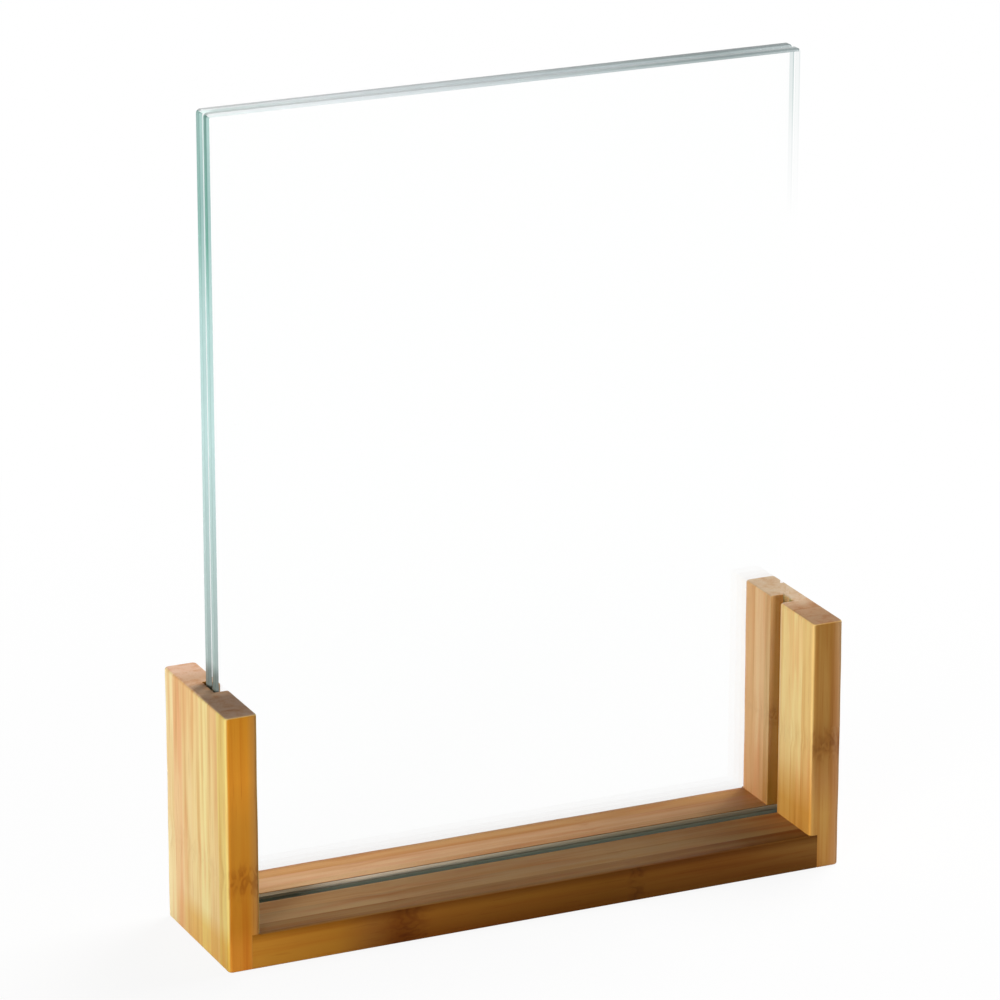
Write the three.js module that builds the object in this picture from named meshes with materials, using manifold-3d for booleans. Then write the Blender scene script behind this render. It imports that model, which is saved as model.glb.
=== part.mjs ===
// A menu card holder: two clear glass panes stand side by side in a bamboo stand, and the card slides in between.
// Millimetres, +Z up. X runs along the stand, +Y to its back. The origin is the centre of the footprint.

import * as THREE from 'three';
import { mergeVertices } from 'three/addons/utils/BufferGeometryUtils.js';
import Module from 'manifold-3d';

const wasm = await Module();
wasm.setup();

// The panes. Each is as large as a letter-size card, 8.5 by 11 inches.
const PANE_WIDTH = 216;
const PANE_HEIGHT = 280;
const PANE_THICKNESS = 4;
const PANE_CORNER_RADIUS = 1.5;
const PANE_ARRIS = 1;
const CARD_GAP = 2;

// The boards of the stand.
const UPRIGHT_HEIGHT = 91;
const UPRIGHT_THICKNESS = 11.5;
const BAR_THICKNESS = 12.5;
const FRONT_LIP = 25;
const REAR_LIP = 19.5;
const EDGE_RADIUS = 1.5;
const END_EASE = 0.75;
const BAR_EDGE_RADIUS = 1;

// The cuts that hold the panes, and the rebate at the foot of each upright that holds the bar.
const SLOT_DEPTH = 5;
const GROOVE_DEPTH = 4;
const REBATE_DEPTH = 3;
const ROUTER_RADIUS = 3;
const SLOT_MOUTH_EASE = 0.5;
const TOP_MOUTH_EASE = 0.5;

// The fluted dowels glued across each joint.
const DOWEL_DIAMETER = 5;
const DOWEL_LENGTH = 20;
const DOWEL_COVER = 2;
const DOWEL_CHAMFER = 0.6;
const DOWEL_FLUTES = 16;
const FLUTE_DEPTH = 0.25;

// Clearances.
const PANE_FACE_CLEARANCE = 0.4;
const PANE_SIDE_CLEARANCE = 0.5;
const PANE_SEAT_CLEARANCE = 0.3;
const DOWEL_SIDE_CLEARANCE = 0.25;
const DOWEL_END_CLEARANCE = 0.5;

// Facets of the rounds.
const EDGE_SEGMENTS = 4;
const EASE_SEGMENTS = 3;
const HOLE_SEGMENTS = 24;

// How far a cutter runs past the face that it opens.
const OVERRUN = 5;

// Places that follow from the sizes.
const SLOT_WIDTH = 2 * PANE_THICKNESS + CARD_GAP + 2 * PANE_FACE_CLEARANCE;
const STAND_DEPTH = FRONT_LIP + SLOT_WIDTH + REAR_LIP;
const SLOT_FRONT = FRONT_LIP - STAND_DEPTH / 2;
const SLOT_REAR = SLOT_FRONT + SLOT_WIDTH;
const INNER_FACE = PANE_WIDTH / 2 + PANE_SIDE_CLEARANCE - SLOT_DEPTH;
const UPRIGHT_MIDDLE = INNER_FACE + UPRIGHT_THICKNESS / 2;
const BAR_LENGTH = 2 * (INNER_FACE + REBATE_DEPTH);
const GROOVE_FLOOR = BAR_THICKNESS - GROOVE_DEPTH;
const DOWEL_HEIGHT = BAR_THICKNESS / 2;
const DOWEL_PLACES = {
  front: SLOT_FRONT - FRONT_LIP / 2,
  rear: SLOT_REAR + REAR_LIP / 2,
};
const DOWEL_HOLE_RADIUS = DOWEL_DIAMETER / 2 + DOWEL_SIDE_CLEARANCE;
const DOWEL_OUTER_END = INNER_FACE + UPRIGHT_THICKNESS - DOWEL_COVER - DOWEL_END_CLEARANCE;
const DOWEL_MIDDLE = DOWEL_OUTER_END - DOWEL_LENGTH / 2;

// Turns a geometry into a solid that can be cut or joined.
function toSolid(geometry) {
  const bare = geometry.clone();
  bare.deleteAttribute('normal');
  bare.deleteAttribute('uv');
  const merged = mergeVertices(bare);
  return new wasm.Manifold(new wasm.Mesh({
    numProp: 3,
    vertProperties: new Float32Array(merged.attributes.position.array),
    triVerts: new Uint32Array(merged.index.array),
  }));
}

function toGeometry(solid) {
  const mesh = solid.getMesh();
  const geometry = new THREE.BufferGeometry();
  geometry.setAttribute('position', new THREE.BufferAttribute(mesh.vertProperties, 3));
  geometry.setIndex(new THREE.BufferAttribute(mesh.triVerts, 1));
  return geometry;
}

function cutAway(geometry, cutters) {
  return toGeometry(cutters.reduce((left, cutter) => left.subtract(toSolid(cutter)), toSolid(geometry)));
}

// A rectangle with a quarter circle at each corner. radii go round from the lower left, anticlockwise.
function roundedRectangle(left, bottom, right, top, radii) {
  const corners = [[left, bottom, 1, 1], [right, bottom, -1, 1], [right, top, -1, -1], [left, top, 1, -1]];
  const shape = new THREE.Shape();
  corners.forEach(([x, y, inX, inY], i) => {
    const radius = radii[i];
    const start = Math.PI * (1 + i / 2);
    if (radius > 0) shape.absarc(x + inX * radius, y + inY * radius, radius, start, start + Math.PI / 2, false);
    else if (i === 0) shape.moveTo(x, y);
    else shape.lineTo(x, y);
  });
  shape.closePath();
  return shape;
}

function polygon(points) {
  return new THREE.Shape(points.map(([x, y]) => new THREE.Vector2(x, y)));
}

// Extrudes a shape by depth from its own plane.
function prism(shape, depth) {
  return new THREE.ExtrudeGeometry(shape, { depth, bevelEnabled: false, curveSegments: EDGE_SEGMENTS });
}

// Extrudes a shape by depth with both ends eased, inside the shape's own outline.
function easedPrism(shape, depth, ease, segments) {
  const geometry = new THREE.ExtrudeGeometry(shape, {
    depth: depth - 2 * ease,
    bevelEnabled: true,
    bevelThickness: ease,
    bevelSize: ease,
    bevelOffset: -ease,
    bevelSegments: segments,
    curveSegments: EDGE_SEGMENTS,
  });
  return geometry.translate(0, 0, ease);
}

// Lays a prism drawn in the plane of Y and Z along +X, starting at x.
function alongX(geometry, x) {
  const turn = new THREE.Matrix4().makeBasis(
    new THREE.Vector3(0, 1, 0),
    new THREE.Vector3(0, 0, 1),
    new THREE.Vector3(1, 0, 0),
  );
  return geometry.applyMatrix4(turn).translate(x, 0, 0);
}

// Lays a prism along X from the lower of two places to the higher.
function between(shape, a, b) {
  return alongX(prism(shape, Math.abs(b - a)), Math.min(a, b));
}

function circle(y, z, radius) {
  const points = Array.from({ length: HOLE_SEGMENTS }, (_, i) => {
    const angle = (2 * Math.PI * i) / HOLE_SEGMENTS;
    return [y + radius * Math.cos(angle), z + radius * Math.sin(angle)];
  });
  return polygon(points);
}

// An upright stands on its foot with its middle at x = 0. side is -1 at the left end and 1 at the right end.
// Its inner face has the slot for the panes, and its foot the rebate and the two dowel holes.
function uprightGeometry(side) {
  const half = UPRIGHT_THICKNESS / 2;
  const front = -STAND_DEPTH / 2;
  const inner = -side * half;
  const outward = (distance) => inner + side * distance;
  const plan = roundedRectangle(-half, front, half, front + STAND_DEPTH, Array(4).fill(EDGE_RADIUS));
  const board = easedPrism(plan, UPRIGHT_HEIGHT, END_EASE, EASE_SEGMENTS);

  // The slot runs down past the groove's floor by the router's radius, where the bar's end hides its round corners.
  const slotFoot = GROOVE_FLOOR - ROUTER_RADIUS;
  const slotShape = roundedRectangle(
    SLOT_FRONT, slotFoot, SLOT_REAR, UPRIGHT_HEIGHT + OVERRUN, [ROUTER_RADIUS, ROUTER_RADIUS, 0, 0]);
  const slot = between(slotShape, outward(-OVERRUN), outward(SLOT_DEPTH));

  // The slot's long edges are eased where they meet the inner face, and its mouth at the top is flared.
  const mouth = prism(polygon([
    [outward(-SLOT_MOUTH_EASE), SLOT_FRONT - 2 * SLOT_MOUTH_EASE],
    [outward(-SLOT_MOUTH_EASE), SLOT_REAR + 2 * SLOT_MOUTH_EASE],
    [outward(SLOT_MOUTH_EASE), SLOT_REAR],
    [outward(SLOT_MOUTH_EASE), SLOT_FRONT],
  ]), UPRIGHT_HEIGHT + OVERRUN).translate(0, 0, BAR_THICKNESS);
  const flare = between(polygon([
    [SLOT_FRONT, UPRIGHT_HEIGHT - TOP_MOUTH_EASE],
    [SLOT_REAR, UPRIGHT_HEIGHT - TOP_MOUTH_EASE],
    [SLOT_REAR + 2 * TOP_MOUTH_EASE, UPRIGHT_HEIGHT + TOP_MOUTH_EASE],
    [SLOT_FRONT - 2 * TOP_MOUTH_EASE, UPRIGHT_HEIGHT + TOP_MOUTH_EASE],
  ]), outward(-OVERRUN), outward(SLOT_DEPTH));

  const rebateShape = roundedRectangle(front - OVERRUN, -OVERRUN, -front + OVERRUN, BAR_THICKNESS, [0, 0, 0, 0]);
  const rebate = between(rebateShape, outward(-OVERRUN), outward(REBATE_DEPTH));
  const holes = Object.values(DOWEL_PLACES).map((y) => between(
    circle(y, DOWEL_HEIGHT, DOWEL_HOLE_RADIUS), outward(0), outward(UPRIGHT_THICKNESS - DOWEL_COVER)));
  return cutAway(board, [slot, mouth, flare, rebate, ...holes]);
}

// The bar lies on its underside with its middle at x = 0. Its top edges are rounded between the uprights only,
// and stay square inside the rebates.
function barGeometry() {
  const front = -STAND_DEPTH / 2;
  const section = (topRadius) => roundedRectangle(
    front, 0, -front, BAR_THICKNESS, [END_EASE, END_EASE, topRadius, topRadius]);
  const shown = toSolid(between(section(BAR_EDGE_RADIUS), -INNER_FACE, INNER_FACE));
  const leftEnd = toSolid(between(section(0), -BAR_LENGTH / 2, -INNER_FACE));
  const rightEnd = toSolid(between(section(0), INNER_FACE, BAR_LENGTH / 2));
  const bar = toGeometry(shown.add(leftEnd).add(rightEnd));

  const past = BAR_LENGTH / 2 + OVERRUN;
  const groove = between(polygon([
    [SLOT_FRONT, GROOVE_FLOOR],
    [SLOT_REAR, GROOVE_FLOOR],
    [SLOT_REAR, BAR_THICKNESS + OVERRUN],
    [SLOT_FRONT, BAR_THICKNESS + OVERRUN],
  ]), -past, past);
  const mouth = between(polygon([
    [SLOT_FRONT, BAR_THICKNESS - SLOT_MOUTH_EASE],
    [SLOT_REAR, BAR_THICKNESS - SLOT_MOUTH_EASE],
    [SLOT_REAR + 2 * SLOT_MOUTH_EASE, BAR_THICKNESS + SLOT_MOUTH_EASE],
    [SLOT_FRONT - 2 * SLOT_MOUTH_EASE, BAR_THICKNESS + SLOT_MOUTH_EASE],
  ]), -INNER_FACE, INNER_FACE);
  const holeEnd = DOWEL_OUTER_END - DOWEL_LENGTH - DOWEL_END_CLEARANCE;
  const holes = [-1, 1].flatMap((side) => Object.values(DOWEL_PLACES).map((y) => between(
    circle(y, DOWEL_HEIGHT, DOWEL_HOLE_RADIUS), side * holeEnd, side * past)));
  return cutAway(bar, [groove, mouth, ...holes]);
}

// A pane stands on its lower edge with its middle at x = 0 and y = 0. Its corners are rounded off and its edges seamed.
function paneGeometry() {
  const outline = roundedRectangle(
    -PANE_WIDTH / 2, 0, PANE_WIDTH / 2, PANE_HEIGHT, Array(4).fill(PANE_CORNER_RADIUS));
  return easedPrism(outline, PANE_THICKNESS, PANE_ARRIS, 1)
    .translate(0, 0, -PANE_THICKNESS / 2)
    .rotateX(Math.PI / 2);
}

// A dowel lies along X with its middle at the origin: straight flutes all round, and chamfered ends.
function dowelGeometry() {
  const points = Array.from({ length: 2 * DOWEL_FLUTES }, (_, i) => {
    const angle = (Math.PI * i) / DOWEL_FLUTES;
    const radius = DOWEL_DIAMETER / 2 - (i % 2) * FLUTE_DEPTH;
    return [radius * Math.cos(angle), radius * Math.sin(angle)];
  });
  return alongX(easedPrism(polygon(points), DOWEL_LENGTH, DOWEL_CHAMFER, 1), -DOWEL_LENGTH / 2);
}

const bamboo = () => new THREE.MeshStandardMaterial({ color: 0xc98f4e, roughness: 0.4, metalness: 0 });
const glass = () => new THREE.MeshStandardMaterial({
  color: 0xcfe6de, roughness: 0.03, metalness: 0, transparent: true, opacity: 0.35,
});
const beech = () => new THREE.MeshStandardMaterial({ color: 0xd9b98c, roughness: 0.7, metalness: 0 });

function piece(name, geometry, material, x, y, z) {
  const mesh = new THREE.Mesh(geometry, material);
  mesh.name = name;
  mesh.position.set(x, y, z);
  return mesh;
}

const stand = new THREE.Group();
stand.add(piece('left_upright', uprightGeometry(-1), bamboo(), -UPRIGHT_MIDDLE, 0, 0));
stand.add(piece('right_upright', uprightGeometry(1), bamboo(), UPRIGHT_MIDDLE, 0, 0));
stand.add(piece('base_bar', barGeometry(), bamboo(), 0, 0, 0));
for (const [end, side] of [['left', -1], ['right', 1]]) {
  for (const [place, y] of Object.entries(DOWEL_PLACES)) {
    stand.add(piece(`${end}_${place}_dowel`, dowelGeometry(), beech(), side * DOWEL_MIDDLE, y, DOWEL_HEIGHT));
  }
}

const panes = new THREE.Group();
panes.position.set(0, SLOT_FRONT + PANE_FACE_CLEARANCE + PANE_THICKNESS / 2, GROOVE_FLOOR + PANE_SEAT_CLEARANCE);
panes.add(piece('front_pane', paneGeometry(), glass(), 0, 0, 0));
panes.add(piece('rear_pane', paneGeometry(), glass(), 0, PANE_THICKNESS + CARD_GAP, 0));

const holder = new THREE.Group();
holder.add(stand, panes);

export default holder;
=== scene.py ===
import math

import bmesh
import bpy
import numpy as np
from mathutils import Euler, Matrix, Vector


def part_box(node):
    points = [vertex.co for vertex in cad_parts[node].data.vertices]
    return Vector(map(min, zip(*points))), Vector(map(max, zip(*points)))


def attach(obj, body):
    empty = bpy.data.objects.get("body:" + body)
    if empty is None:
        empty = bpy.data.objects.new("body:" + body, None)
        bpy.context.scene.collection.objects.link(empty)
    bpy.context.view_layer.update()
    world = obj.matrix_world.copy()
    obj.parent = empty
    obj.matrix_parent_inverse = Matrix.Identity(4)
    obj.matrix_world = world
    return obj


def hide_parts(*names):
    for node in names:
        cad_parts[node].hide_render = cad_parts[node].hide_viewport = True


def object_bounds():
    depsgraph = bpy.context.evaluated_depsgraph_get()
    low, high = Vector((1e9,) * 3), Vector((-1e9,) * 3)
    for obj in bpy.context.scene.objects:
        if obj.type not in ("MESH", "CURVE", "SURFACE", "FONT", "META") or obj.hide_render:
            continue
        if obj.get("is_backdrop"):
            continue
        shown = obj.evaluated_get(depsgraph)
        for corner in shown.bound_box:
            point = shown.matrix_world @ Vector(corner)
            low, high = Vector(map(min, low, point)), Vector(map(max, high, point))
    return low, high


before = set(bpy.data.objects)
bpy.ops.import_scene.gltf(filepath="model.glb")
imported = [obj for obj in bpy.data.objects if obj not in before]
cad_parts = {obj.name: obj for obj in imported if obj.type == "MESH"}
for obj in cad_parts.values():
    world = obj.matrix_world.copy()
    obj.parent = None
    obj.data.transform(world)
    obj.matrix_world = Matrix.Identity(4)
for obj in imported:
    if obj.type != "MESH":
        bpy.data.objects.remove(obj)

cad_low, cad_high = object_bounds()

# The bar that joins the uprights. It is laminated bamboo, planed flat, with a groove routed along its top
# for the panes. Its long edges are sanded round by hand and its square ends are glued into the uprights.
MM = 0.001
PANE_FACE_CLEARANCE = 0.4 * MM
PANE_SIDE_CLEARANCE = 0.5 * MM
PANE_SEAT_CLEARANCE = 0.3 * MM
SLOT_DEPTH = 5 * MM
BAR_FOOT_RADIUS = 0.75 * MM
BAR_EDGE_RADIUS = 1 * MM
GROOVE_MOUTH_RADIUS = 0.3 * MM
GROOVE_CORNER_RADIUS = 0.2 * MM
SANDING_WANDER = 0.16
SHORTEST_WAVES = (70, 23)
LONGEST_WAVES = (95, 31)
WAVE_SHARES = (0.65, 0.35)
ARC_STEPS = 8
SHARP_ANGLE = math.radians(35)
RING_SPACING = 2.5 * MM
MERGE_DISTANCE = 0.002 * MM

bar_low, bar_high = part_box("base_bar")
front_pane_low, front_pane_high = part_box("front_pane")
rear_pane_low, rear_pane_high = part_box("rear_pane")
slot_front = front_pane_low.y - PANE_FACE_CLEARANCE
slot_rear = rear_pane_high.y + PANE_FACE_CLEARANCE
groove_floor = front_pane_low.z - PANE_SEAT_CLEARANCE
slot_end = front_pane_high.x + PANE_SIDE_CLEARANCE
inner_face = slot_end - SLOT_DEPTH


def rounded(corners, radii, steps):
    """Rounds the square corners of a stack of closed outlines, (rings, corners, 2). With p and n the unit
    vectors from a corner to the previous and the next one, and t from 0 to a quarter turn, the corner
    becomes the arc corner + radius * (p * (1 - sin t) + n * (1 - cos t))."""
    middle = corners[len(corners) // 2]
    to_previous = np.sign(np.roll(middle, 1, axis=0) - middle)
    to_next = np.sign(np.roll(middle, -1, axis=0) - middle)
    t = np.linspace(0, math.pi / 2, steps + 1)
    arcs = to_previous[:, None] * (1 - np.sin(t))[:, None] + to_next[:, None] * (1 - np.cos(t))[:, None]
    points = corners[:, :, None] + radii[:, :, None, None] * arcs[None]
    return points.reshape(len(corners), -1, 2)


def wander(along, seed):
    """How much hand sanding changes an edge's radius along its length: 1 plus a long and a short sine of the
    place along it, with drawn lengths and phases."""
    rng = np.random.default_rng(seed)
    phase = rng.uniform(0, 2 * math.pi, 2)
    length = rng.uniform(SHORTEST_WAVES, LONGEST_WAVES) * MM
    waves = np.sin(along[:, None] / length * 2 * math.pi + phase) @ np.array(WAVE_SHARES)
    return 1 + SANDING_WANDER * waves


def loft(name, rings):
    """Joins a stack of rings, (rings, points, 3), with quads between neighbours and a flat cap at each end.
    Edges that turn by more than SHARP_ANGLE stay sharp."""
    count, around = rings.shape[:2]
    index = np.arange(count * around).reshape(count, around)
    following = np.roll(index, -1, axis=1)
    quads = np.stack([index[:-1], following[:-1], following[1:], index[1:]], axis=-1).reshape(-1, 4)
    caps = [index[0, ::-1].tolist(), index[-1].tolist()]
    mesh = bpy.data.meshes.new(name)
    mesh.from_pydata(rings.reshape(-1, 3).tolist(), [], quads.tolist() + caps)
    bm = bmesh.new()
    bm.from_mesh(mesh)
    bmesh.ops.remove_doubles(bm, verts=bm.verts, dist=MERGE_DISTANCE)
    bmesh.ops.dissolve_degenerate(bm, edges=bm.edges, dist=MERGE_DISTANCE)
    bmesh.ops.recalc_face_normals(bm, faces=bm.faces)
    for edge in bm.edges:
        edge.smooth = edge.calc_face_angle(0) < SHARP_ANGLE
    bm.to_mesh(mesh)
    bm.free()
    piece = bpy.data.objects.new(name, mesh)
    bpy.context.collection.objects.link(piece)
    return piece


def soften(piece):
    """Shades a piece smooth over its rounded edges, with flat normals on its flats."""
    piece.data.shade_smooth()
    piece.modifiers.new("flat_faces", "WEIGHTED_NORMAL").keep_sharp = True


def stations(start, end):
    """Evenly spaced places from start to end, about RING_SPACING apart."""
    return np.linspace(start, end, max(2, round(abs(end - start) / RING_SPACING) + 1))


def bar_rings():
    """The bar's section in Y and Z, carried along X. Its top edges are rounded between the uprights and
    square in the rebates, so there are two rings where it meets each upright."""
    shown = stations(-inner_face, inner_face)
    x = np.concatenate([[bar_low.x, -inner_face], shown, [inner_face, bar_high.x]])
    between = np.concatenate([[0, 0], np.ones(len(shown)), [0, 0]])
    section = np.array([
        (bar_low.y, bar_low.z), (bar_high.y, bar_low.z), (bar_high.y, bar_high.z), (slot_rear, bar_high.z),
        (slot_rear, groove_floor), (slot_front, groove_floor), (slot_front, bar_high.z),
        (bar_low.y, bar_high.z),
    ])
    foot = np.full(len(x), BAR_FOOT_RADIUS)
    corner = np.full(len(x), GROOVE_CORNER_RADIUS)
    mouths = [GROOVE_MOUTH_RADIUS * between * wander(x, seed) for seed in (3, 4)]
    edges = [BAR_EDGE_RADIUS * between * wander(x, seed) for seed in (1, 2)]
    radii = np.stack([foot, foot, edges[0], mouths[0], corner, corner, mouths[1], edges[1]], axis=1)
    flat = rounded(np.repeat(section[None], len(x), axis=0), radii, ARC_STEPS)
    return np.concatenate([np.broadcast_to(x[:, None, None], flat.shape[:2] + (1,)), flat], axis=2)


def linear(hex_colour):
    """An sRGB hex colour as linear red, green, blue and alpha."""
    c = np.array([int(hex_colour[i:i + 2], 16) / 255 for i in (1, 3, 5)])
    c = np.where(c <= 0.04045, c / 12.92, ((c + 0.055) / 1.055) ** 2.4)
    return (*c.tolist(), 1.0)


def add(tree, kind, inputs=None, stops=(), **settings):
    """Adds a node. inputs are the values of its sockets, or the nodes or sockets that feed them. stops are
    the places and hex colours of a colour ramp, in rising order. settings are its other properties."""
    node = tree.nodes.new("ShaderNode" + kind)
    for name, value in settings.items():
        setattr(node, name, value)
    for key, value in (inputs or {}).items():
        value = value.outputs[0] if isinstance(value, bpy.types.Node) else value
        if isinstance(value, bpy.types.NodeSocket):
            tree.links.new(value, node.inputs[key])
        else:
            node.inputs[key].default_value = value
    for position, colour in stops[2:]:
        node.color_ramp.elements.new(position).color = linear(colour)
    for element, (position, colour) in zip(node.color_ramp.elements if stops else (), stops):
        element.position, element.color = position, linear(colour)
    return node


def colours_along(tree, place, stops):
    """The colour at a place in mm, from places in mm that each have a hex colour."""
    start, end = stops[0][0], stops[-1][0]
    share = add(tree, "MapRange", {0: place, 1: start, 2: end})
    return add(tree, "ValToRGB", {0: share}, [((at - start) / (end - start), c) for at, c in stops])


def places_in_mm(tree):
    """The outputs of the texture coordinates, and X, Y and Z in mm."""
    place = add(tree, "TexCoord").outputs
    in_mm = add(tree, "VectorMath", {0: place["Object"], "Scale": 1 / MM}, operation="SCALE")
    return place, add(tree, "SeparateXYZ", {0: in_mm}).outputs


def new_material(name):
    """A material and its node tree, with no node in it yet."""
    material = bpy.data.materials.new(name)
    material.use_nodes = True
    material.node_tree.nodes.clear()
    return material, material.node_tree


# Laminated bamboo: strips glued side by side with their flat outer sides to the front and back. The eye sees
# pale bands, some yellow and some rosy, streaks, fibres, a knuckle here and there, an orange outer skin,
# darker end grain, and a thin matt oil over all. Fibres are drawn a little coarse, to show.
FIBRE_WIDTH, FIBRE_LENGTH = 0.6, 45.0
STREAK_WIDTH, STREAK_LENGTH = 3.2, 95.0
CLOUD_WIDTH, CLOUD_LENGTH = 12.0, 70.0
ROSE_WIDTH, ROSE_LENGTH = 4.0, 40.0
BUNDLE_WIDTH, BUNDLE_LENGTH = 0.7, 16.0
SWIRL_WIDTH, SWIRL_LENGTH = 3.6, 6.0
BEND_WIDTH, BEND_LENGTH = 9.0, 34.0
PLAIN_BEND, KNUCKLE_BEND = 0.8, 2.4
STRIP_SHIFT = 40.0
SWIRL_REACH = 8.0
CURLS = 9.0
SQUARE_ON = (0.6, 0.9)
ROSE_RANGE, BUNDLE_RANGE, CURL_RANGE = (0.5, 0.72), (0.6, 0.76), (0.1, 0.8)
ROSE_MOST, BUNDLE_MOST, EDGE_BAND_MOST = 0.6, 0.25, 0.8
KNUCKLE_MOST, CURL_MOST, CUT_EDGE_MARKS = 0.15, 0.35, 0.15
STREAK_SHARE, CLOUD_SHARE, FIBRE_SHARE, TONE_START = 0.7, 0.5, 0.2, -0.2
# From back to front in mm, where the painted shade at the uprights' feet starts and where it is full.
PAINTED_SHADE_FADES = (22.0, 4.0)
RIM_WITHIN = (3.2, 0.3)
# Painted shade on the bar's lower part, near the floor. It starts along X between these places in mm.
LOW_STARTS = (-75.0, -50.0)
TONES = ((0.05, "#c49a72"), (0.35, "#f0dac4"), (0.5, "#fcf5f0"), (0.65, "#ffffff"))
ROSE_TINT = "#f9d8cc"
BUNDLE_TINT = "#c89868"
KNUCKLE_TINT = "#a87440"
RIM_TINT = "#cabb96"
LOW_PAINTED_SHADE = ((2.0, "#dccdb4"), (8.0, "#ffffff"))
# Painted shade in the uprights' slots: the cheeks darken low down near the bar and deeper in from the mouth.
CHEEKS_WITHIN = (20.0, 18.0)
CHEEK_SHADE_DEEPENS = (104.4, 105.8)
CHEEK_MOUTH = ((19.0, "#97671f"), (35.0, "#a86f35"), (52.0, "#c48c4c"), (72.0, "#d39f67"), (91.0, "#e8b676"))
CHEEK_DEEP = ((19.0, "#a9752c"), (91.0, "#b47e3c"))
OIL_ROUGHNESS = (0.5, 0.4)
OIL_GLOSS = 0.05
FIBRE_RELIEF, FIBRE_BUMP, BUNDLE_DIP = 0.12 * MM, 0.12, -0.8


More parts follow.
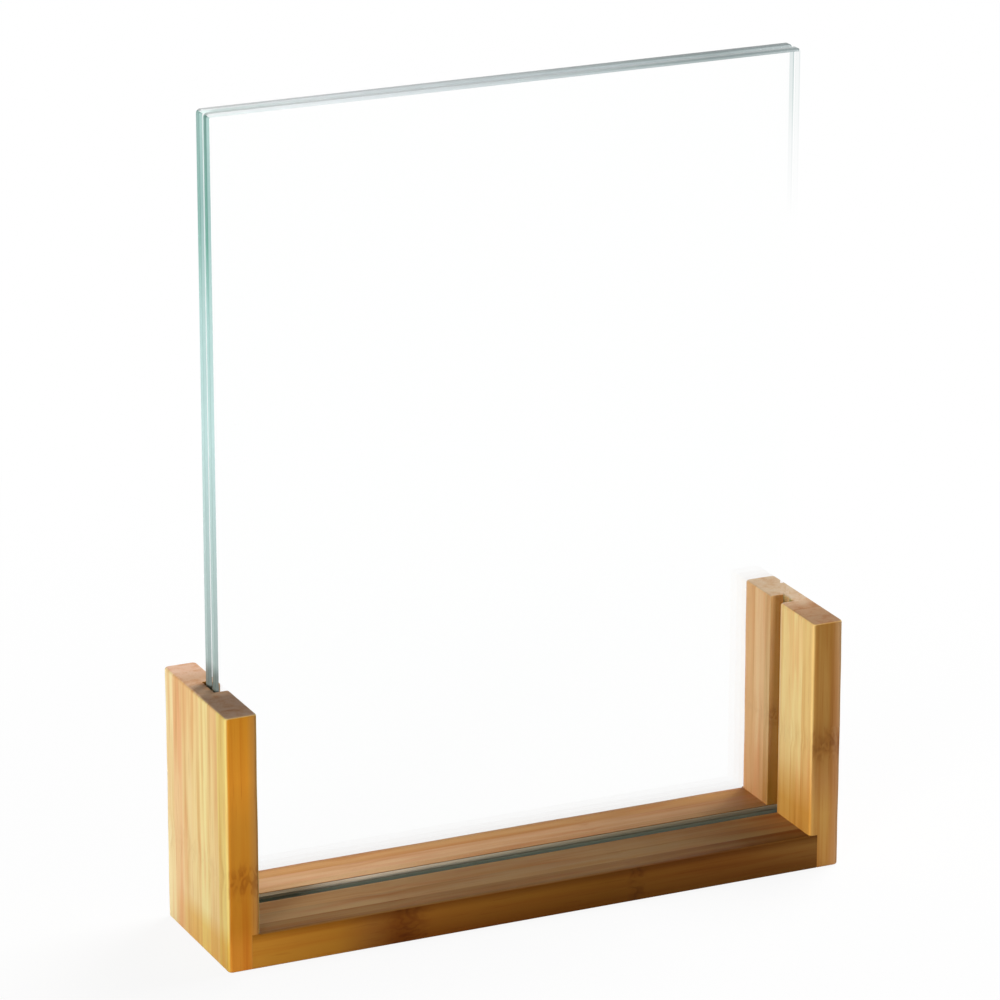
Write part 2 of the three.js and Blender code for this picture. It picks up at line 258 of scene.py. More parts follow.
def laminated_bamboo(name, grain, seed, strips, skin, painted_shade, knuckles, end_grain=None, edge_band=None):
    """grain is the axis that the fibres follow. strips are the colours of the strips' cut edges, from front
    to back. skin are the colours of the sides that face the front or back, along the board, and
    painted_shade is the painted light that the cut edges are multiplied by along it: painted shade and warm
    bounce at the foot of an upright, less and less to the back, and painted shade along the bar as the light
    falls off.
    end_grain are the colours of an upright's ends from front to back, darker to the front partly with
    painted shade. All three are places in mm, each with a hex colour. knuckles are places along the board
    with their reach, in mm. edge_band is where in mm the skin of an upright starts and ends to turn to its
    last colour across the board. The cheeks of its slot have painted shade, darker away from the mouth and
    low down. The bar, which has no open end, is darker instead in a rim along its top edges, and with
    painted shade near the table."""
    material, tree = new_material(name)
    depth = (cad_high.y - cad_low.y) / MM
    place, axes = places_in_mm(tree)
    along, across = (axes["Z"], axes["X"]) if grain == "Z" else (axes["X"], axes["Z"])

    def texture(width, length, shift, detail, rough, y=axes["Y"]):
        """Noise that is width mm wide across the grain and length mm long."""
        stretched = add(tree, "Math", {0: along, 1: width / length, 2: shift}, operation="MULTIPLY_ADD")
        spot = add(tree, "CombineXYZ", {0: across, 1: y, 2: stretched})
        return add(tree, "TexNoise", {
            "Vector": spot, "Scale": 1 / width, "Detail": detail, "Roughness": rough})

    # Each strip has its own colour and its own stretch of grain.
    count = len(strips)
    deep = add(tree, "Math", {0: axes["Y"], 1: count / depth, 2: count / 2}, operation="MULTIPLY_ADD")
    strip = add(tree, "Math", {0: deep}, operation="FLOOR")
    colour = colours_along(tree, strip, [*enumerate(strips)])
    ticket = add(tree, "Math", {0: strip, 1: seed + 0.5}, operation="ADD")
    chance = add(tree, "TexWhiteNoise", {"W": ticket}, noise_dimensions="1D").outputs["Value"]
    shift = add(tree, "Math", {0: chance, 1: STRIP_SHIFT, 2: float(seed)}, operation="MULTIPLY_ADD")

    # How near a knuckle is, and the curly marks round it. The fibres bend a little, and more near a knuckle.
    swirl = texture(SWIRL_WIDTH, SWIRL_LENGTH, 11.0 * seed, 1.5, 0.5)
    waved = add(tree, "Math", {0: swirl, 1: SWIRL_REACH, 2: along}, operation="MULTIPLY_ADD")
    halo = 0.0
    for at, reach in knuckles:
        off = add(tree, "Math", {0: waved, 1: at + SWIRL_REACH / 2}, operation="SUBTRACT")
        off = add(tree, "Math", {0: off}, operation="ABSOLUTE")
        near = add(tree, "MapRange", {0: off, 2: reach, 3: 1.0, 4: 0.0}, interpolation_type="SMOOTHSTEP")
        halo = add(tree, "Math", {0: near, 1: halo}, operation="MAXIMUM")
    curl = add(tree, "Math", {0: swirl, 1: CURLS}, operation="MULTIPLY")
    curl = add(tree, "Math", {0: curl, 1: 1.0}, operation="PINGPONG")
    curl = add(tree, "MapRange", {0: curl, 1: CURL_RANGE[0], 2: CURL_RANGE[1], 3: 1.0, 4: 0.0},
               interpolation_type="SMOOTHSTEP")
    bend = texture(BEND_WIDTH, BEND_LENGTH, 5.0 * seed, 1.0, 0.5)
    bend_size = add(tree, "Math", {0: halo, 1: KNUCKLE_BEND, 2: PLAIN_BEND}, operation="MULTIPLY_ADD")
    bent = add(tree, "Math", {0: bend, 1: bend_size, 2: axes["Y"]}, operation="MULTIPLY_ADD").outputs[0]

    fibre = texture(FIBRE_WIDTH, FIBRE_LENGTH, shift, 2.0, 0.55, bent)
    tone = TONE_START
    for source, share in (
        (texture(STREAK_WIDTH, STREAK_LENGTH, shift, 2.0, 0.5, bent), STREAK_SHARE),
        (texture(CLOUD_WIDTH, CLOUD_LENGTH, shift, 1.0, 0.5), CLOUD_SHARE), (fibre, FIBRE_SHARE),
    ):
        tone = add(tree, "Math", {0: source, 1: share, 2: tone}, operation="MULTIPLY_ADD")
    tones = add(tree, "ValToRGB", {0: tone}, TONES)

    # The cut edges of the strips show over most of the board, and the skin only on its front and back. Each
    # layer is its share, its colour and how it lies on what is below.
    rosy = texture(ROSE_WIDTH, ROSE_LENGTH, shift, 1.0, 0.5)
    rosy = add(tree, "MapRange", {0: rosy, 1: ROSE_RANGE[0], 2: ROSE_RANGE[1], 3: 0.0, 4: ROSE_MOST})
    painted_shade_on = add(tree, "MapRange", {0: axes["Y"], 1: PAINTED_SHADE_FADES[0], 2: PAINTED_SHADE_FADES[1]}) if end_grain else 1.0
    facing = add(tree, "SeparateXYZ", {0: place["Normal"]}).outputs
    outer = add(tree, "Math", {0: facing["Y"]}, operation="ABSOLUTE")
    outer = add(tree, "MapRange", {0: outer, 1: SQUARE_ON[0], 2: SQUARE_ON[1]})
    layers = [
        (rosy, linear(ROSE_TINT), "MULTIPLY"),
        (painted_shade_on, colours_along(tree, along, painted_shade), "MULTIPLY"),
        (outer, colours_along(tree, along, skin), "MIX"),
    ]
    from_middle = add(tree, "Math", {0: axes["Y"]}, operation="ABSOLUTE")
    if end_grain:
        # A band of an upright's skin, across the board, turns to another colour.
        edge_band_share = add(tree, "MapRange", {0: across, 1: edge_band[0], 2: edge_band[1], 4: EDGE_BAND_MOST})
        edge_band_share = add(tree, "Math", {0: edge_band_share, 1: outer}, operation="MULTIPLY")
        sideways = add(tree, "Math", {0: across}, operation="ABSOLUTE")
        inside = add(tree, "MapRange", {0: sideways, 1: CHEEK_SHADE_DEEPENS[0], 2: CHEEK_SHADE_DEEPENS[1]})
        mouth, bottom = (colours_along(tree, along, stops) for stops in (CHEEK_MOUTH, CHEEK_DEEP))
        painted_cheek_shade = add(tree, "Mix", {0: inside, 6: mouth, 7: bottom}, data_type="RGBA").outputs[2]
        routed = add(tree, "MapRange", {0: from_middle, 1: CHEEKS_WITHIN[0], 2: CHEEKS_WITHIN[1]})
        routed = add(tree, "Math", {0: routed, 1: outer}, operation="MULTIPLY")
        upward = add(tree, "Math", {0: facing["Z"]}, operation="ABSOLUTE")
        upward = add(tree, "MapRange", {0: upward, 1: SQUARE_ON[0], 2: SQUARE_ON[1]})
        layers += [
            (edge_band_share, linear(edge_band[2]), "MIX"),
            (routed, painted_cheek_shade, "MIX"),
            (upward, colours_along(tree, axes["Y"], end_grain), "MIX"),
        ]
    else:
        inward = add(tree, "Math", {0: depth / 2, 1: from_middle}, operation="SUBTRACT")
        reach = add(tree, "Math", {0: inward, 1: across}, operation="SUBTRACT")
        top = bar_high.z / MM
        border = add(tree, "MapRange", {0: reach, 1: RIM_WITHIN[0] - top, 2: RIM_WITHIN[1] - top})
        painted_low_shade = add(tree, "MapRange", {0: along, 1: LOW_STARTS[0], 2: LOW_STARTS[1]})
        layers += [
            (border, linear(RIM_TINT), "MULTIPLY"),
            (painted_low_shade, colours_along(tree, across, LOW_PAINTED_SHADE), "MULTIPLY"),
        ]
    bundle = texture(BUNDLE_WIDTH, BUNDLE_LENGTH, shift, 1.0, 0.5, bent)
    bundle = add(tree, "MapRange", {
        0: bundle, 1: BUNDLE_RANGE[0], 2: BUNDLE_RANGE[1], 3: 0.0, 4: BUNDLE_MOST},
        interpolation_type="SMOOTHSTEP")
    layers += [(1.0, tones, "MULTIPLY"), (bundle, linear(BUNDLE_TINT), "MULTIPLY")]

    # Knuckles mark the skin most, and the cut edges a little.
    mark = add(tree, "MapRange", {0: outer, 3: CUT_EDGE_MARKS, 4: 1.0})
    mark = add(tree, "Math", {0: mark, 1: halo}, operation="MULTIPLY")
    curly = add(tree, "Math", {0: mark, 1: curl}, operation="MULTIPLY")
    for share, most in ((mark, KNUCKLE_MOST), (curly, CURL_MOST)):
        share = add(tree, "Math", {0: share, 1: most}, operation="MULTIPLY")
        layers.append((share, linear(KNUCKLE_TINT), "MULTIPLY"))

    for share, layer, blend in layers:
        mix = add(tree, "Mix", {0: share, 6: colour, 7: layer}, data_type="RGBA", blend_type=blend)
        colour = mix.outputs[2]
    height = add(tree, "Math", {0: bundle, 1: BUNDLE_DIP, 2: fibre}, operation="MULTIPLY_ADD")
    bump = add(tree, "Bump", {"Strength": FIBRE_BUMP, "Distance": FIBRE_RELIEF, "Height": height})
    rough = add(tree, "MapRange", {0: fibre, 1: 0.3, 2: 0.7, 3: OIL_ROUGHNESS[0], 4: OIL_ROUGHNESS[1]})
    surface = add(tree, "BsdfPrincipled", {
        "Base Color": colour, "Roughness": rough, "Specular IOR Level": OIL_GLOSS, "Normal": bump})
    add(tree, "OutputMaterial", {0: surface})
    return material


def dress(piece, body, slot, nodes, *materials):
    """Gives a piece its materials and its body, and hides the nodes that it stands for. slot is not used."""
    for material in materials:
        piece.data.materials.append(material)
    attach(piece, body)
    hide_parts(*nodes)


bar = loft("grooved_bar", bar_rings())
soften(bar)
dress(bar, "stand", "bamboo", ["base_bar"], laminated_bamboo(
    "oiled_bamboo_bar", "X", 4,
    strips=("#a37d4e", "#c09c6c", "#cea470", "#d8b080", "#ddb586", "#e4ba8e", "#dcaa6e"),
    # The skin darkens to the right, painted shade as the light falls off, and is darkest near -53 mm at a
    # knuckle.
    skin=((-104.0, "#b27a28"), (-76.0, "#9d6920"), (-63.0, "#835420"), (-53.0, "#6f3f0e"),
          (-42.0, "#7f4f17"), (-10.0, "#744a14"), (25.0, "#694310"), (104.0, "#765022")),
    # Painted shade: the cut edges darken as the light falls off to the right, and lighten again by the right
    # upright, where the lamps' own shadow falls.
    painted_shade=((-104.0, "#ebebeb"), (-70.0, "#ffffff"), (-45.0, "#f4f2f0"), (-30.0, "#e8e5e1"), (10.0, "#d8d5ce"),
          (50.0, "#c4bfb5"), (70.0, "#cfc9be"), (90.0, "#f0ecdf"), (104.0, "#f4efe2")),
    knuckles=((-50.0, 11.0), (36.0, 5.0))))

# The uprights, two boards of the same bamboo with the fibres upright. Each has a slot for the panes, open at
# the top, and a rebate at its foot for the bar. Edges are sanded round, most where a hand meets them.
UPRIGHT_EDGE_RADIUS = 1.5 * MM
UPRIGHT_END_RADIUS = 0.9 * MM
UPRIGHT_FOOT_RADIUS = 0.75 * MM
SLOT_MOUTH_RADIUS = 0.4 * MM
SLOT_FLARE = 0.4 * MM
REBATE_RADIUS = 0.05 * MM
ARC_EASE = 0.6


def upright_rings(side):
    """The upright's plan, with its slot, carried up Z. The quarter circles at foot and top draw the outline
    in by radius * (1 - cos t) while z moves by radius * (1 - sin t). Two rings at the bar's top make the
    rebate's step, and two at the groove's floor the foot of the slot."""
    low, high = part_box("left_upright" if side < 0 else "right_upright")
    outer = high.x if side > 0 else low.x
    rebate = side * bar_high.x
    t = np.linspace(0, math.pi / 2, ARC_STEPS + 1)
    foot_z, foot_in = UPRIGHT_FOOT_RADIUS * (1 - np.cos(t)), UPRIGHT_FOOT_RADIUS * (1 - np.sin(t))
    top_z, top_in = high.z - UPRIGHT_END_RADIUS * (1 - np.sin(t)), UPRIGHT_END_RADIUS * (1 - np.cos(t))
    body = stations(bar_high.z, top_z[0])
    levels = [
        (foot_z, foot_in, 0, 0), (np.array([groove_floor]), 0, 0, 0),
        (np.array([groove_floor, bar_high.z]), 0, 1, 0), (body[:-1], 0, 1, 1), (top_z, top_in, 1, 1),
    ]
    z = np.concatenate([level[0] for level in levels])
    drawn_in, open_slot, above = (
        np.concatenate([np.broadcast_to(np.asarray(level[k], float), level[0].shape) for level in levels])
        for k in (1, 2, 3))
    inner = np.where(above > 0, side * inner_face, rebate) + side * drawn_in
    outside = outer - side * drawn_in
    floor = np.where(open_slot > 0, side * slot_end, rebate) + side * drawn_in * above
    flare = SLOT_FLARE / UPRIGHT_END_RADIUS * drawn_in * above
    front, rear = low.y + drawn_in, high.y - drawn_in
    near, far = slot_front - flare, slot_rear + flare
    corners = np.stack([
        np.stack(pair, axis=1) for pair in (
            (outside, front), (inner, front), (inner, near), (floor, near),
            (floor, far), (inner, far), (inner, rear), (outside, rear))], axis=1)
    edges = [UPRIGHT_EDGE_RADIUS * wander(z, 10 + side * k) - ARC_EASE * drawn_in for k in (1, 2, 3, 4)]
    edges[1], edges[2] = (np.where(above > 0, edge, REBATE_RADIUS) for edge in edges[1:3])
    mouth = SLOT_MOUTH_RADIUS * above
    corner = np.full(len(z), REBATE_RADIUS) * open_slot
    radii = np.stack([edges[0], edges[1], mouth, corner, corner, mouth, edges[2], edges[3]], axis=1)
    flat = rounded(corners, radii, ARC_STEPS)
    return np.concatenate([flat, np.broadcast_to(z[:, None, None], flat.shape[:2] + (1,))], axis=2)


for name, side, node, material in (
    ("slotted_left_upright", -1, "left_upright", laminated_bamboo(
        "oiled_bamboo_left", "Z", 1,
        strips=("#e2cd7c", "#e8ce90", "#eede9c", "#eed89a", "#ebd094", "#ecc892", "#f2dfa8"),
        skin=((0.0, "#cf8a30"), (9.0, "#c5822a"), (16.0, "#b67720"), (28.0, "#b4761f"), (52.0, "#ba7d25"),
              (68.0, "#cb8828"), (91.0, "#be8021")),
        # Painted shade and warm bounce light at the foot.
        painted_shade=((0.0, "#f8e2b4"), (9.0, "#f8e6bc"), (16.0, "#ffffff"), (91.0, "#ffffff")),
        knuckles=((33.0, 8.0),), edge_band=(-107.5, -103.5, "#9a784a"),
        # The ends are darker towards the front, with painted shade added to the panes' shade there.
        end_grain=(
            (-18.0, "#a0866f"), (-8.0, "#ad9179"), (-3.0, "#e4bf9c"), (13.0, "#cca787"),
            (21.0, "#e2bca0")))),
    ("slotted_right_upright", 1, "right_upright", laminated_bamboo(
        "oiled_bamboo_right", "Z", 7,
        strips=("#eccb84", "#f4dc98", "#f2d894", "#ecca92", "#e9c58f", "#f4cc9a", "#ecbe89"),
        skin=((0.0, "#ae8143"), (20.0, "#b38a49"), (32.0, "#a67b44"), (42.0, "#9a7139"), (48.0, "#936a34"),
              (56.0, "#9d753a"), (67.0, "#a37b3f"), (91.0, "#a17b3e")),
        # Painted shade and warm bounce light at the foot, fading out by 45 mm.
        painted_shade=((0.0, "#e6c48e"), (20.0, "#e6c690"), (28.0, "#f0dcc0"), (35.0, "#fbf4ec"), (45.0, "#ffffff"),
              (91.0, "#ffffff")),
        knuckles=((46.0, 7.0),), edge_band=(110.5, 114.5, "#bc956f"),
        # The ends are darker towards the front, with painted shade added to the panes' shade there.
        end_grain=((-20.0, "#9d7b59"), (-9.0, "#ae8a67"), (-3.0, "#cab094"), (10.0, "#cab497")))),
):
    upright = loft(name, upright_rings(side))
    soften(upright)
    dress(upright, "stand", "bamboo", [node], material)

# The four dowels that cross the glued joints: straight-fluted beech, bare and matt. They are the CAD solids,
# and the wood hides them once the stand is glued.
BEECH = "#d8b48a"
BEECH_FLECK = "#b98d60"
FLECK_LENGTH, FLECK_WIDTH = 8.0 * MM, 0.45 * MM
FLECK_RELIEF = 0.1 * MM
BEECH_ROUGHNESS = (0.6, 0.8)


def bare_beech():
    """Pale even wood with short dark flecks along X."""
    material, tree = new_material("bare_beech")
    fleck_size = (1 / FLECK_LENGTH, 1 / FLECK_WIDTH, 1 / FLECK_WIDTH)
    place = add(tree, "TexCoord").outputs["Object"]
    place = add(tree, "VectorMath", {0: place, 1: fleck_size}, operation="MULTIPLY")
    flecks = add(tree, "TexNoise", {"Vector": place, "Scale": 1.0, "Detail": 2.0})
    share = add(tree, "MapRange", {0: flecks, 1: 0.5, 2: 0.75})
    plain, dark = linear(BEECH), linear(BEECH_FLECK)
    colour = add(tree, "Mix", {0: share, 6: plain, 7: dark}, data_type="RGBA").outputs[2]
    bump = add(tree, "Bump", {"Strength": 0.3, "Distance": FLECK_RELIEF, "Height": flecks})
    rough = add(tree, "MapRange", {0: flecks, 3: BEECH_ROUGHNESS[0], 4: BEECH_ROUGHNESS[1]})
    surface = add(tree, "BsdfPrincipled", {"Base Color": colour, "Roughness": rough, "Normal": bump})
    add(tree, "OutputMaterial", {0: surface})
    return material


beech = bare_beech()
for name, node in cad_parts.items():
    if name.endswith("_dowel"):
        node.material_slots[0].material = beech

# The two panes of clear float glass. Their faces are polished by the float bath, and their edges are cut,
# ground and seamed with a narrow arris. The faces are almost unseen, and the edges show the glass's green.
# Their colours along the panes also carry painted light: a painted reflection of the wood and painted shade
# where the left edges enter the left upright, and at the foot painted shade of the groove and a painted
# reflection of the wood. The top edges are darker towards the right. The marks of the grinding are drawn
# coarse, to show.
ARRIS = 1 * MM
PANE_CORNER_RADIUS = 1.5 * MM
FOOT_MARGIN = 0.15 * MM
GLASS_IOR = 1.52
GLASS_PASSES = (0.998, 1.0, 0.999, 1)
FACE_NORMAL, ARRIS_NORMAL = 0.99, 0.4
GRINDING_MARKS_PER_MM = 0.42
GRINDING_RELIEF = 0.05 * MM
GROUND_ROUGHNESS = (0.3, 0.45)
GROUND_GLOSS = 0.3
EVEN = "#ffffff"
# The left edges darken from 84 to 100 mm, where they enter the left upright: a painted reflection of the
# wood and painted shade.
LEFT_DEEP = ("Z", (
    (0.0, "#a4b8b4"), (84.0, "#a4b8b4"), (92.0, "#75847e"), (96.0, "#75847e"), (100.0, "#a4b8b4"),
    (178.0, "#b8d8d4"), (219.0, "#a6d0cb"), (245.0, "#5ea492"), (289.0, "#648e86")))
LEFT_PALE = ("Z", (
    (0.0, "#a8b8b5"), (84.0, "#a8b8b5"), (92.0, "#818c88"), (96.0, "#818c88"), (100.0, "#a8b8b5"),
    (178.0, "#c6e4e2"), (225.0, "#bcdcd8"), (258.0, "#a0c4c0"), (289.0, "#b2d5cf")))
LEFT_BANDS = ("Y", (
    (-2.25, "#000000"), (-1.6, "#000000"), (-1.4, "#ffffff"), (-0.1, "#ffffff"), (0.3, "#000000"),
    (4.4, "#000000"), (4.65, "#cccccc"), (7.75, "#cccccc")))
RIGHT_DEEP = ("Z", (
    (0.0, "#ffffff"), (228.0, "#ffffff"), (255.0, "#f6f8f8"), (270.0, "#e8eeed"), (289.0, "#dee6e6")))
RIGHT_PALE = ("Z", ((0.0, "#ffffff"), (265.0, "#ffffff"), (289.0, "#e0e6e5")))
RIGHT_BANDS = ("Y", ((-2.25, "#a0a0a0"), (2.6, "#a0a0a0"), (2.9, "#ffffff"), (7.75, "#ffffff")))
TOP_DEEP = ("X", (
    (-108.0, "#e4e8e8"), (-60.0, "#d6dcde"), (0.0, "#b6bfc0"), (50.0, "#8c9897"), (75.0, "#7c8888"),
    (108.0, "#848f90")))
TOP_PALE = ("X", (
    (-108.0, "#dcebe8"), (-70.0, "#e0e8e8"), (0.0, "#c4ced0"), (50.0, "#b8c4c6"), (80.0, "#a6b4b4"),
    (108.0, "#c2cdce")))
TOP_BANDS = ("Y", (
    (-2.25, "#c8c8c8"), (-1.9, "#a0a0a0"), (-1.65, "#ffffff"), (-1.1, "#ffffff"), (-0.8, "#000000"),
    (4.3, "#000000"), (4.55, "#ffffff"), (7.75, "#ffffff")))
# The foot carries painted shade of the groove on the front pane and a painted reflection of the wood on the
# rear pane, both darker towards the right.
FOOT_DEEP = ("Z", ((8.8, "#b4d0c9"), (11.2, "#a0b8b0"), (11.5, "#707769"), (12.5, "#737a6c")))
FOOT_PALE = ("X", (
    (-108.0, "#f8ead8"), (-45.0, "#f4e4d0"), (0.0, "#d0c4ae"), (45.0, "#b2a48c"), (108.0, "#9b917a")))
FOOT_BANDS = ("Y", ((-2.25, "#ffffff"), (1.75, "#ffffff"), (3.75, "#bcbcbc"), (7.75, "#000000")))


def pane_rings(low, high):
    """The pane's outline in X and Z, with round corners, carried through its thickness along Y. The first
    and last rings are drawn in by the width of the seamed arris."""
    y = np.array([low.y, low.y + ARRIS, high.y - ARRIS, high.y])
    drawn_in = np.array([ARRIS, 0, 0, ARRIS])
    left, right, foot, top = low.x + drawn_in, high.x - drawn_in, low.z + drawn_in, high.z - drawn_in
    outline = ((left, foot), (right, foot), (right, top), (left, top))
    corners = np.stack([np.stack(pair, axis=1) for pair in outline], axis=1)
    radii = np.repeat((PANE_CORNER_RADIUS - drawn_in)[:, None], 4, axis=1)
    flat = rounded(corners, radii, ARC_STEPS)
    return np.stack([flat[..., 0], np.broadcast_to(y[:, None], flat.shape[:2]), flat[..., 1]], axis=2)


def float_glass_face():
    """Polished float glass. Light for the wood behind it goes straight through, less what its faces
    reflect, and so does a view that has come in through a clear arris, which would else be caught between
    the faces."""
    material, tree = new_material("polished_float_glass")
    body = add(tree, "BsdfPrincipled", {
        "Base Color": GLASS_PASSES, "Roughness": 0.0, "IOR": GLASS_IOR, "Transmission Weight": 1.0})
    path = add(tree, "LightPath").outputs
    inside = add(tree, "NewGeometry").outputs["Backfacing"]
    passing = add(tree, "Math", {0: path["Is Shadow Ray"], 1: path["Is Diffuse Ray"]}, operation="MAXIMUM")
    caught = add(tree, "Math", {0: path["Is Camera Ray"], 1: inside}, operation="MULTIPLY")
    passing = add(tree, "Math", {0: passing, 1: caught}, operation="MAXIMUM")
    ratio = add(tree, "MapRange", {0: inside, 3: GLASS_IOR, 4: 1 / GLASS_IOR})
    kept = add(tree, "Math", {0: 1.0, 1: add(tree, "Fresnel", {"IOR": ratio})}, operation="SUBTRACT")
    kept = add(tree, "Math", {0: kept, 1: caught}, operation="MAXIMUM")
    shade = add(tree, "BsdfTransparent", {"Color": kept})
    add(tree, "OutputMaterial", {0: add(tree, "MixShader", {0: passing, 1: body, 2: shade})})
    return material


def ground_glass(name, deep, pale, bands, flat=EVEN, arris=EVEN, clear_inside=True, clear_arris=False):
    """From outside, ground glass seen endways. deep and pale are its colours, each an axis and places in mm
    along it with a hex colour, and bands say how deep it is there, from black for pale to white for deep.
    They carry painted reflection and shade as well as the glass's own colour. The flat and the arris are
    multiplied by their own colours, painted shade for the way each faces the light. From inside the pane it
    is clear, with the deep colour laid over what shows through where it is deep, unless clear_inside is off.
    With clear_arris, the arris is as clear from outside."""
    material, tree = new_material(name)
    place, axes = places_in_mm(tree)
    deep_colour, pale_colour, depth = (
        colours_along(tree, axes[axis], stops) for axis, stops in (deep, pale, bands))
    facing = add(tree, "SeparateXYZ", {0: place["Normal"]}).outputs["Y"]
    facing = add(tree, "Math", {0: facing}, operation="ABSOLUTE")
    on_arris = add(tree, "Math", {0: facing, 1: ARRIS_NORMAL}, operation="GREATER_THAN")
    colour = add(tree, "Mix", {0: depth, 6: pale_colour, 7: deep_colour}, data_type="RGBA").outputs[2]
    painted_shade = add(tree, "Mix", {0: on_arris, 6: linear(flat), 7: linear(arris)}, data_type="RGBA").outputs[2]
    painted_shade_on = add(tree, "Mix", {0: 1.0, 6: colour, 7: painted_shade}, data_type="RGBA", blend_type="MULTIPLY")
    grinding = add(tree, "TexNoise", {
        "Vector": place["Object"], "Scale": GRINDING_MARKS_PER_MM / MM, "Detail": 1.0})
    bump = add(tree, "Bump", {"Strength": 0.1, "Distance": GRINDING_RELIEF, "Height": grinding})
    rough = add(tree, "MapRange", {
        0: grinding, 1: 0.3, 2: 0.7, 3: GROUND_ROUGHNESS[0], 4: GROUND_ROUGHNESS[1]})
    surface = add(tree, "BsdfPrincipled", {
        "Base Color": painted_shade_on.outputs[2], "Roughness": rough, "Specular IOR Level": GROUND_GLOSS,
        "Normal": bump})
    if clear_inside:
        share = add(tree, "NewGeometry").outputs["Backfacing"]
        if clear_arris:
            share = add(tree, "Math", {0: share, 1: on_arris}, operation="MAXIMUM")
        through = add(tree, "Mix", {0: depth, 6: linear(EVEN), 7: deep_colour}, data_type="RGBA").outputs[2]
        clear = add(tree, "BsdfTransparent", {"Color": through})
        surface = add(tree, "MixShader", {0: share, 1: surface, 2: clear})
    add(tree, "OutputMaterial", {0: surface})
    return material


# The right edge's arrises hardly show against white, so light goes straight through those.
glass = (
    float_glass_face(),
    ground_glass("ground_glass_left_edge", LEFT_DEEP, LEFT_PALE, LEFT_BANDS, arris="#e1e1e1"),
    ground_glass("ground_glass_right_edge", RIGHT_DEEP, RIGHT_PALE, RIGHT_BANDS, flat="#b8d8d2",
                 clear_arris=True),
    ground_glass("ground_glass_top_edge", TOP_DEEP, TOP_PALE, TOP_BANDS, flat="#cbcbcb"),
    ground_glass("foot_with_painted_groove_shade", FOOT_DEEP, FOOT_PALE, FOOT_BANDS, clear_inside=False),
)
FACE, LEFT_EDGE, RIGHT_EDGE, TOP_EDGE, FOOT = range(5)
for name, low, high, body, node in (
    ("front_glass_pane", front_pane_low, front_pane_high, "front_glass", "front_pane"),
    ("rear_glass_pane", rear_pane_low, rear_pane_high, "rear_glass", "rear_pane"),
):
    pane = loft(name, pane_rings(low, high))
    # Below the bar's top, the pane takes the foot's material, with its painted shade of the groove and
    # painted reflection of the wood.
    foot_line = bar_high.z - FOOT_MARGIN
    bm = bmesh.new()
    bm.from_mesh(pane.data)
    whole = [*bm.verts, *bm.edges, *bm.faces]
    bmesh.ops.bisect_plane(bm, geom=whole, plane_co=(0, 0, foot_line), plane_no=(0, 0, 1))
    for polygon in bm.faces:
        n = polygon.normal
        polygon.material_index = (
            FOOT if polygon.calc_center_median().z < foot_line else FACE if abs(n.y) > FACE_NORMAL else
            TOP_EDGE if n.z > abs(n.x) else LEFT_EDGE if n.x < 0 else RIGHT_EDGE)
    bm.to_mesh(pane.data)
    bm.free()
    dress(pane, body, "clear_glass", [node], *glass)

# The floor is a pale sheet that fills the view. It shows the object's shadow, and further from the object it
# turns plain white to the camera.
FLOOR_SIZE = 6.0
FLOOR_WHITE = 0.88
FLOOR_SHOWS = 0.09
SHADOW_REACH = (0.15, 0.5)


def seen_directly(tree):
    """1 for a camera ray and for what metal and glass show, and 0 once light has met a matt surface."""
    path = add(tree, "LightPath").outputs
    seen = add(tree, "Math", {0: path["Is Camera Ray"], 1: path["Is Glossy Ray"]}, operation="MAXIMUM")
    seen = add(tree, "Math", {0: seen, 1: path["Is Transmission Ray"]}, operation="MAXIMUM")
    unmet = add(tree, "Math", {0: path["Diffuse Depth"], 1: 0.5}, operation="LESS_THAN")
    return add(tree, "Math", {0: seen, 1: unmet}, operation="MULTIPLY")


def white_floor():
    """Matt white paper. The camera sees it mixed with plain white, and far off only the plain white."""
    material, tree = new_material("white_floor")
    paper = add(tree, "BsdfDiffuse", {"Color": (FLOOR_WHITE,) * 3 + (1,)})
    white = add(tree, "Emission", {"Color": (1, 1, 1, 1), "Strength": 1.0})
    place = add(tree, "TexCoord").outputs["Object"]
    far = add(tree, "VectorMath", {0: place}, operation="LENGTH").outputs["Value"]
    plain = add(tree, "MapRange", {
        0: far, 1: SHADOW_REACH[0], 2: SHADOW_REACH[1], 3: 1 - FLOOR_SHOWS, 4: 1.0},
        interpolation_type="SMOOTHSTEP")
    share = add(tree, "Math", {0: seen_directly(tree), 1: plain}, operation="MULTIPLY")
    add(tree, "OutputMaterial", {0: add(tree, "MixShader", {0: share, 1: paper, 2: white})})
    return material


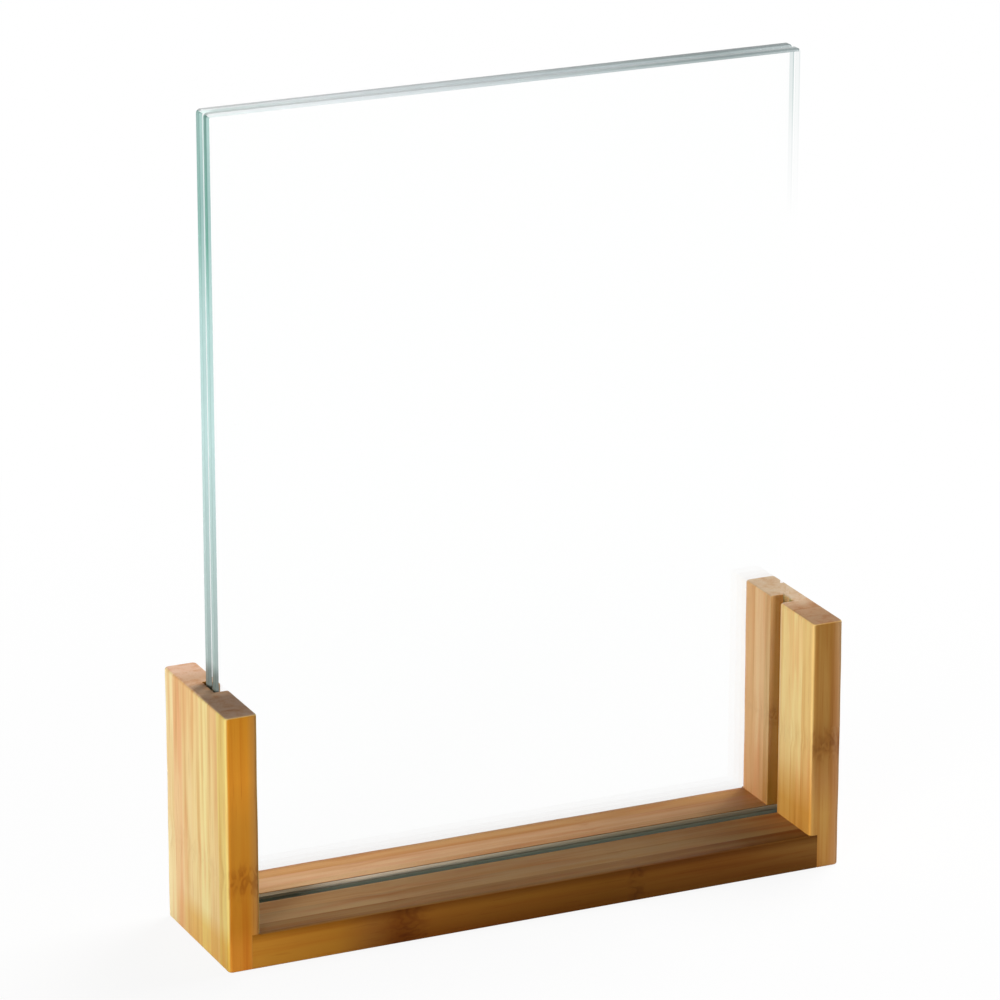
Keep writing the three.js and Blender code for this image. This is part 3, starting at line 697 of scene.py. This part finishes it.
half = FLOOR_SIZE / 2
sheet = [(-half, -half, 0), (half, -half, 0), (half, half, 0), (-half, half, 0)]
floor_mesh = bpy.data.meshes.new("floor")
floor_mesh.from_pydata(sheet, [], [(0, 1, 2, 3)])
floor_mesh.materials.append(white_floor())
floor = bpy.data.objects.new("floor", floor_mesh)
bpy.context.collection.objects.link(floor)
floor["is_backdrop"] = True

# The world is a white tent round the object. What is seen of it is plain white, and its own light is weak
# and comes softly from all round, which fills the shadows.
WORLD_LIGHT = 0.12
world = bpy.data.worlds.new("white_tent")
bpy.context.scene.world = world
world.use_nodes = True
world.node_tree.nodes.clear()
shown_white = add(world.node_tree, "Background", {"Color": (1, 1, 1, 1), "Strength": 1.0})
soft_light = add(world.node_tree, "Background", {"Color": (1, 1, 1, 1), "Strength": WORLD_LIGHT})
tent = add(world.node_tree, "MixShader", {0: seen_directly(world.node_tree), 1: soft_light, 2: shown_white})
add(world.node_tree, "OutputWorld", {0: tent})

# Two soft boxes: one low at the front left, and one high at the right, a little behind, that rakes past the
# panes. Each has its place, its size in metres and its power in watts.
LAMPS = (
    ("left_softbox", (-1.8, -1.6, 0.33), 0.6, 46.0),
    ("overhead_softbox", (1.1, 0.45, 2.1), 1.1, 56.0),
)
LAMP_AIM = Vector((0, 0, 0.1))
for name, place, size, power in LAMPS:
    lamp = bpy.data.lights.new(name, "AREA")
    lamp.shape, lamp.size, lamp.energy = "SQUARE", size, power
    holder = bpy.data.objects.new(name, lamp)
    bpy.context.collection.objects.link(holder)
    holder.location = place
    holder.rotation_euler = (LAMP_AIM - Vector(place)).to_track_quat("-Z", "Y").to_euler()

# The camera stands at the front left, a little above, with a long lens, as in the photograph. It looks at a
# point about half way up the object.
CAMERA_TARGET = Vector((-2.9, 0.0, 142.85)) * MM
CAMERA_AZIMUTH = math.radians(24.729)
CAMERA_ELEVATION = math.radians(18.609)
CAMERA_ROLL = math.radians(0.041)
CAMERA_DISTANCE = 1833.6 * MM
LENS = 195.29
SENSOR = 36.0

camera_data = bpy.data.cameras.new("portrait")
camera_data.lens, camera_data.sensor_width = LENS, SENSOR
camera = bpy.data.objects.new("portrait", camera_data)
bpy.context.collection.objects.link(camera)
bpy.context.scene.camera = camera
roll = Euler((0, 0, CAMERA_ROLL)).to_matrix()
turn = Euler((math.pi / 2 - CAMERA_ELEVATION, 0, -CAMERA_AZIMUTH)).to_matrix() @ roll
camera.rotation_euler = turn.to_euler()
camera.location = CAMERA_TARGET + turn @ Vector((0, 0, CAMERA_DISTANCE))
bpy.context.scene.view_settings.view_transform = "Standard"

low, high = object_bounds()
